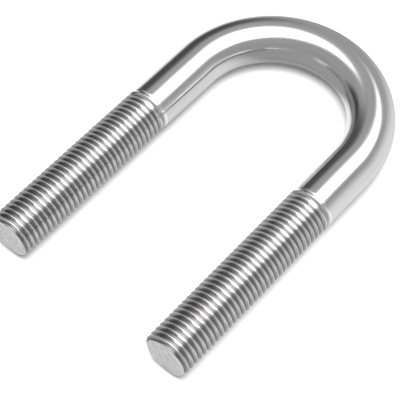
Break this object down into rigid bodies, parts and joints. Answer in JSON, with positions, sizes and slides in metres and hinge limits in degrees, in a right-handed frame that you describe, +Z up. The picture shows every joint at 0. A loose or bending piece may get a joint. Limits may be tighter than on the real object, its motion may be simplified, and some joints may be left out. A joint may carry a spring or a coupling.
{
  "type": "u-bolt",
  "caption": "Round-bend U-bolt in bright steel with parallel threaded legs and chamfered tips, made to clamp a pipe or round bar to a plate.",
  "frame": {"origin": "middle of the outline seen from above, on the surface that the bar lies on", "axes": "+X from the left leg to the right leg, +Y from the tips towards the bend, +Z up, across the bar"},
  "size_m": [0.081, 0.1316, 0.016],
  "materials": {
    "bright_bar": "bright drawn and polished, faint lines along the bar",
    "cut_thread": "bright cut thread, darker in the roots",
    "turned_end": "satin turned face with fine rings and a bright chamfer"
  },
  "bodies": {
    "root": {"bend": "bright_bar", "left_shank": "bright_bar", "right_shank": "bright_bar", "left_cut_thread": "cut_thread", "right_cut_thread": "cut_thread", "left_point": "turned_end", "right_point": "turned_end"}
  },
  "joints": []
}
